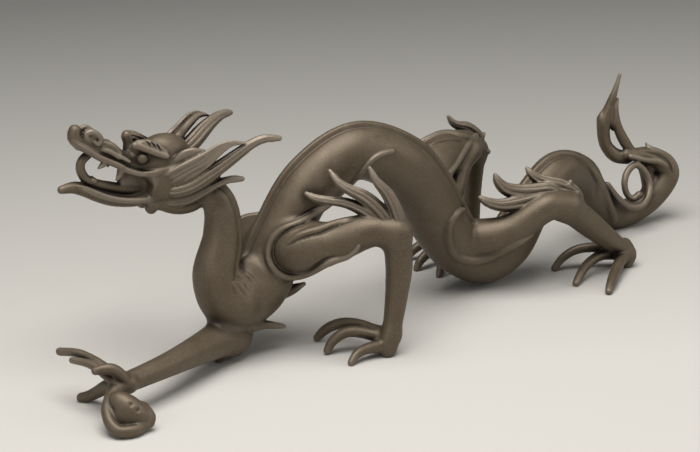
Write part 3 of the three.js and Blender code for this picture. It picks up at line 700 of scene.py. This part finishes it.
def toe_stations(heel, tip):
    """A toe leaves the heel, arches over its knuckle and comes down on its tip."""
    heel, tip = np.array(heel, float), np.array(tip, float)

    def at(share, height, radius):
        return [*(heel + share * (tip - heel)), height, radius]
    return [
        at(0, 5, 1.2 * TOE_RADIUS), at(0.4, TOE_ARCH - TOE_RADIUS, TOE_RADIUS),
        at(0.72, 0.72 * TOE_ARCH, 0.95 * TOE_RADIUS), at(0.92, 0.42 * TOE_ARCH, 0.85 * TOE_RADIUS),
        at(1, TOE_TIP_RADIUS - TIP_SINK, TOE_TIP_RADIUS),
    ]


def model_right_hand(wax):
    wax.roll(RIGHT_FORE_PALM, 1.5)
    for toe in RIGHT_FORE_TOES:
        wax.roll(toe, 0.4, spacing=1)
    wax.press(THUMB_CORE, THUMB_CORE_SIZE, 1, THUMB_AXES)
    wax.roll(THUMB_BAND, 0.6, spacing=1)
    wax.roll(THUMB_LOBE, 0.6, spacing=1)
    wax.press(THUMB_BALL, THUMB_BALL_SIZE, 1.2, THUMB_AXES)
    wax.score(THUMB_SLIT, 0.4, 1)
    for pit in THUMB_PITS:
        wax.hollow(pit, [0.9, 0.9, 0.9], 0.4)


def model_dragon():
    wax = Wax(WAX_LOW, WAX_HIGH)
    wax.roll(BODY, 0, beaded_back, FLANK)
    for leg, bend, blend in (
        (LEFT_FORELEG, 4, 2.5), (RIGHT_FORELEG, 3, 1), (LEFT_HINDLEG, 4, 2.5), (RIGHT_HINDLEG, 5, 2),
    ):
        wax.roll(leg[:bend + 1], blend)
        wax.roll(leg[bend:], 4)
    for heel, tips in FEET:
        wax.press([*heel, HEEL_SIZE[2] - HEEL_SINK], HEEL_SIZE, 1.5)
        for tip in tips:
            wax.roll(toe_stations(heel, tip), 1.0)
    wax.roll(THIGH_UNDERSIDE, 2)
    wax.roll(LEFT_FORE_PALM, 3)
    wax.roll(LEFT_HIND_HEEL, 1.5)
    for toe in LEFT_FORE_TOES + LEFT_HIND_TOES:
        wax.roll(toe, 1.0)
    model_right_hand(wax)
    wax.roll(FOLD_FILL, 4)
    wax.press(FOLD_BALL, [4, 4, 6], 4)
    wax.roll(ELBOW_STUD, 1.5)
    wax.roll(ARM_BORDER, 0.4)
    for rim in RIMS:
        wax.roll(rim, 0.5)
    for crease in CREASES + SCRATCHES:
        wax.score(crease)
    for lock in ELBOW_LOCKS + KNEE_LOCKS:
        lay_lock(wax, np.array(lock), 7, 1.0)
    for spur in SPURS + ELBOW_TUFTS:
        wax.roll(spur, 0.8)
    for blade in FIN_BLADES:
        wax.roll(blade, 0.6)
    wax.roll(FOLD_WEB, 1.5)
    for ridge in FOLD_RIDGES:
        wax.roll(ridge, 0.5)
    wax.score(FOLD_GROOVE, 0.5)
    wax.roll(TENDRIL_RING, 0.6, spacing=1.2)
    model_head(wax)
    wax.stand()
    return wax


def relief(wax, places, reaches):
    """How hollow and how proud the surface is at each place, over the given reaches and their weights."""
    out = wax.slope(places)
    hollow = np.zeros(len(places))
    proud = np.zeros(len(places))
    for reach, weight in reaches:
        hollow += weight * np.clip(1 - wax.sample(places + out * reach) / reach, 0, 1)
        proud += weight * np.clip(1 + wax.sample(places - out * reach) / reach, 0, 1)
    return hollow, proud


def cast(wax, name):
    """The wax as one closed mesh in metres, with how hollow and how proud each point is."""
    corners, faces = wax.skin()
    for _ in range(2):
        corners = corners - wax.sample(corners)[:, None] * wax.slope(corners)
    corners[:, 2] = np.maximum(corners[:, 2], 0)
    mesh = bpy.data.meshes.new(name)
    mesh.vertices.add(len(corners))
    mesh.vertices.foreach_set("co", ((corners - CENTRE) * MM).ravel())
    mesh.loops.add(4 * len(faces))
    mesh.loops.foreach_set("vertex_index", faces.ravel())
    mesh.polygons.add(len(faces))
    mesh.polygons.foreach_set("loop_start", np.arange(0, 4 * len(faces), 4))
    mesh.update(calc_edges=True)
    mesh.validate()
    rough = bpy.data.objects.new(name + "_rough", mesh)
    bpy.context.collection.objects.link(rough)
    finest = sum(relief(wax, corners, FINEST_REACH))
    plain = np.argsort(finest, kind="stable")[:-min(KEPT_CORNERS, len(corners) // 4)]
    rough.vertex_groups.new(name="plain").add([int(i) for i in plain], 1.0, "REPLACE")
    thin = rough.modifiers.new("thin", "DECIMATE")
    thin.ratio = min(1.0, TRIANGLES / (2 * len(faces)))
    thin.use_collapse_triangulate = True
    thin.vertex_group = "plain"
    thin.vertex_group_factor = 0
    bpy.context.view_layer.update()
    seen = rough.evaluated_get(bpy.context.evaluated_depsgraph_get())
    fine = bpy.data.meshes.new_from_object(seen)
    fine.name = name
    bpy.data.objects.remove(rough)
    bpy.data.meshes.remove(mesh)
    fine.shade_smooth()
    places = np.empty(3 * len(fine.vertices))
    fine.vertices.foreach_get("co", places)
    places = places.reshape(-1, 3) / MM + CENTRE
    # How hollow and how proud each point is, carried to the finish for its painted shade in the hollows and its
    # lighter proud edges (rubbed wear and painted highlight)
    hollow = relief(wax, places, HOLLOW_REACH)[0]
    proud = relief(wax, places, PROUD_REACH)[1]
    for key, values in (("hollow", hollow), ("proud", proud)):
        layer = fine.attributes.new(key, "FLOAT", "POINT")
        layer.data.foreach_set("value", values.astype(np.float32))
    piece = bpy.data.objects.new(name, fine)
    bpy.context.collection.objects.link(piece)
    return piece


# Finish

def add(tree, kind, **inputs):
    node = tree.nodes.new(kind)
    for key, value in inputs.items():
        setattr(node, key, value)
    return node


def ramp(tree, source, low, high):
    """Source stretched so that low becomes 0 and high becomes 1."""
    node = add(tree, "ShaderNodeMapRange")
    node.inputs["From Min"].default_value = low
    node.inputs["From Max"].default_value = high
    tree.links.new(source, node.inputs["Value"])
    return node.outputs["Result"]


def mixed(tree, share, first, second):
    """Colour that goes from first to second by share; either may be a colour or a socket."""
    node = add(tree, "ShaderNodeMix", data_type="RGBA")
    tree.links.new(share, node.inputs["Factor"])
    for socket, value in ((node.inputs[6], first), (node.inputs[7], second)):
        if isinstance(value, tuple):
            socket.default_value = (*value, 1)
        else:
            tree.links.new(value, socket)
    return node.outputs[2]


def noise(tree, place, scale, detail=4.0):
    node = add(tree, "ShaderNodeTexNoise")
    node.inputs["Scale"].default_value = scale
    node.inputs["Detail"].default_value = detail
    tree.links.new(place, node.inputs["Vector"])
    return node.outputs["Fac"]


def brown_bronze():
    """Brown patina with the grain of the casting, with painted shade darkening the hollows and proud edges lighter,
    partly rubbed wear and partly painted highlight.
    """
    material = bpy.data.materials.new("brown_bronze")
    material.use_nodes = True
    tree = material.node_tree
    shader = tree.nodes["Principled BSDF"]
    place = add(tree, "ShaderNodeTexCoord").outputs["Object"]
    hollow = add(tree, "ShaderNodeAttribute", attribute_name="hollow").outputs["Fac"]
    proud = add(tree, "ShaderNodeAttribute", attribute_name="proud").outputs["Fac"]
    clouds = noise(tree, place, 32)
    smears = noise(tree, place, 160, 5)
    speckle = noise(tree, place, 1300, 3)
    colour = mixed(tree, ramp(tree, clouds, 0.3, 0.7), (0.091, 0.066, 0.04), (0.106, 0.079, 0.049))
    colour = mixed(tree, ramp(tree, smears, 0.42, 0.8), colour, (0.121, 0.094, 0.064))
    colour = mixed(tree, ramp(tree, speckle, 0.5, 0.85), colour, (0.144, 0.117, 0.086))
    # Proud edges lighter: partly rubbed wear, partly painted highlight
    colour = mixed(tree, ramp(tree, proud, 0.12, 0.55), colour, (0.235, 0.195, 0.15))
    # Painted shade: hollows darkened towards near black, standing in for the shade that falls in creases, grooves
    # and the mouth
    colour = mixed(tree, ramp(tree, hollow, 0.05, 0.55), colour, (0.024, 0.017, 0.011))
    tree.links.new(colour, shader.inputs["Base Color"])
    tree.links.new(ramp(tree, smears, -1.2, 2.3), shader.inputs["Roughness"])
    shader.inputs["Metallic"].default_value = 0.45
    grain = add(tree, "ShaderNodeBump")
    grain.inputs["Strength"].default_value = 0.22
    grain.inputs["Distance"].default_value = 0.0002
    tree.links.new(speckle, grain.inputs["Height"])
    tree.links.new(grain.outputs["Normal"], shader.inputs["Normal"])
    return material


def pale_paper():
    """Pale backdrop paper, with painted shade that turns it grey towards its far end, where the light falls off."""
    material = bpy.data.materials.new("pale_paper")
    material.use_nodes = True
    tree = material.node_tree
    shader = tree.nodes["Principled BSDF"]
    slant = add(tree, "ShaderNodeVectorMath", operation="DOT_PRODUCT")
    tree.links.new(add(tree, "ShaderNodeTexCoord").outputs["Object"], slant.inputs[0])
    slant.inputs[1].default_value = (-0.15, 1, 0)
    # Painted shade: the paper darkens with distance behind the figure, standing in for the light falling off
    fade = ramp(tree, slant.outputs["Value"], -0.06, 0.46)
    tree.links.new(mixed(tree, fade, (0.51, 0.494, 0.463), (0.195, 0.192, 0.182)), shader.inputs["Base Color"])
    shader.inputs["Roughness"].default_value = 0.9
    shader.inputs["Specular IOR Level"].default_value = 0.2
    return material


# Studio

CAMERA_TURN = math.radians(40)
CAMERA_RISE = math.radians(20)
CAMERA_AWAY = 1083.0
CAMERA_AIM = np.array([0.0, 0.0, 30.0])
LENS = 36.0 * 2850 / 700


def set_camera():
    away = np.array([
        -math.cos(CAMERA_RISE) * math.sin(CAMERA_TURN), -math.cos(CAMERA_RISE) * math.cos(CAMERA_TURN),
        math.sin(CAMERA_RISE),
    ])
    data = bpy.data.cameras.new("camera")
    data.lens = LENS
    data.sensor_width = 36
    data.clip_start = 0.01
    camera = bpy.data.objects.new("camera", data)
    camera.location = (CAMERA_AIM - CENTRE + CAMERA_AWAY * away) * MM
    camera.rotation_euler = Vector(-away).to_track_quat("-Z", "Y").to_euler()
    bpy.context.collection.objects.link(camera)
    bpy.context.scene.camera = camera
    bpy.context.scene.view_settings.view_transform = "Standard"
    return away


def lay_paper():
    """A sheet that lies flat under the figure and curves up behind it."""
    half, near, bend, radius, top = 2.0, -1.6, 0.5, 0.6, 1.6
    ways = [(near, 0.0)]
    for i in range(25):
        turn = math.radians(90 * i / 24)
        ways.append((bend + radius * math.sin(turn), radius * (1 - math.cos(turn))))
    ways.append((bend + radius, top))
    corners = []
    for way, height in ways:
        corners += [(-half, way, height), (half, way, height)]
    faces = [(2 * i, 2 * i + 1, 2 * i + 3, 2 * i + 2) for i in range(len(ways) - 1)]
    mesh = bpy.data.meshes.new("paper")
    mesh.from_pydata(corners, [], faces)
    mesh.shade_smooth()
    sheet = bpy.data.objects.new("paper", mesh)
    sheet.rotation_euler = (0, 0, -CAMERA_TURN)
    mesh.materials.append(pale_paper())
    bpy.context.collection.objects.link(sheet)


def hang_light(name, place, aim, size, power, colour):
    data = bpy.data.lights.new(name, "AREA")
    data.shape = "DISK"
    data.size = size
    data.energy = power
    data.color = colour
    lamp = bpy.data.objects.new(name, data)
    lamp.location = place
    lamp.rotation_euler = (Vector(aim) - Vector(place)).to_track_quat("-Z", "Y").to_euler()
    bpy.context.collection.objects.link(lamp)


def seen_from_camera(right, nearer, height):
    """A place in the room, by how far right of and nearer than the figure it is, as the camera sees it."""
    return (
        right * math.cos(CAMERA_TURN) - nearer * math.sin(CAMERA_TURN),
        -right * math.sin(CAMERA_TURN) - nearer * math.cos(CAMERA_TURN), height,
    )


def light_studio():
    hang_light(
        "softbox", seen_from_camera(-0.06, 0.2, 0.9), seen_from_camera(0, 0.03, 0.0), 0.85, 11.6, (1.0, 0.985, 0.96),
    )
    hang_light("front_fill", seen_from_camera(-0.7, 1.0, 0.6), (0, 0, 0.03), 0.7, 2.4, (1.0, 0.98, 0.95))
    hang_light("side_sheen", seen_from_camera(0.85, 0.1, 0.5), (0.04, 0, 0.04), 0.6, 2.0, (1.0, 0.985, 0.96))
    world = bpy.context.scene.world or bpy.data.worlds.new("room")
    bpy.context.scene.world = world
    world.use_nodes = True
    world.node_tree.nodes["Background"].inputs["Color"].default_value = (0.96, 0.96, 0.96, 1)
    world.node_tree.nodes["Background"].inputs["Strength"].default_value = 0.26


dragon = cast(model_dragon(), "dragon_casting")
dragon.data.materials.append(brown_bronze())
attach(dragon, "root")
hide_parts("dragon")

set_camera()
lay_paper()
light_studio()
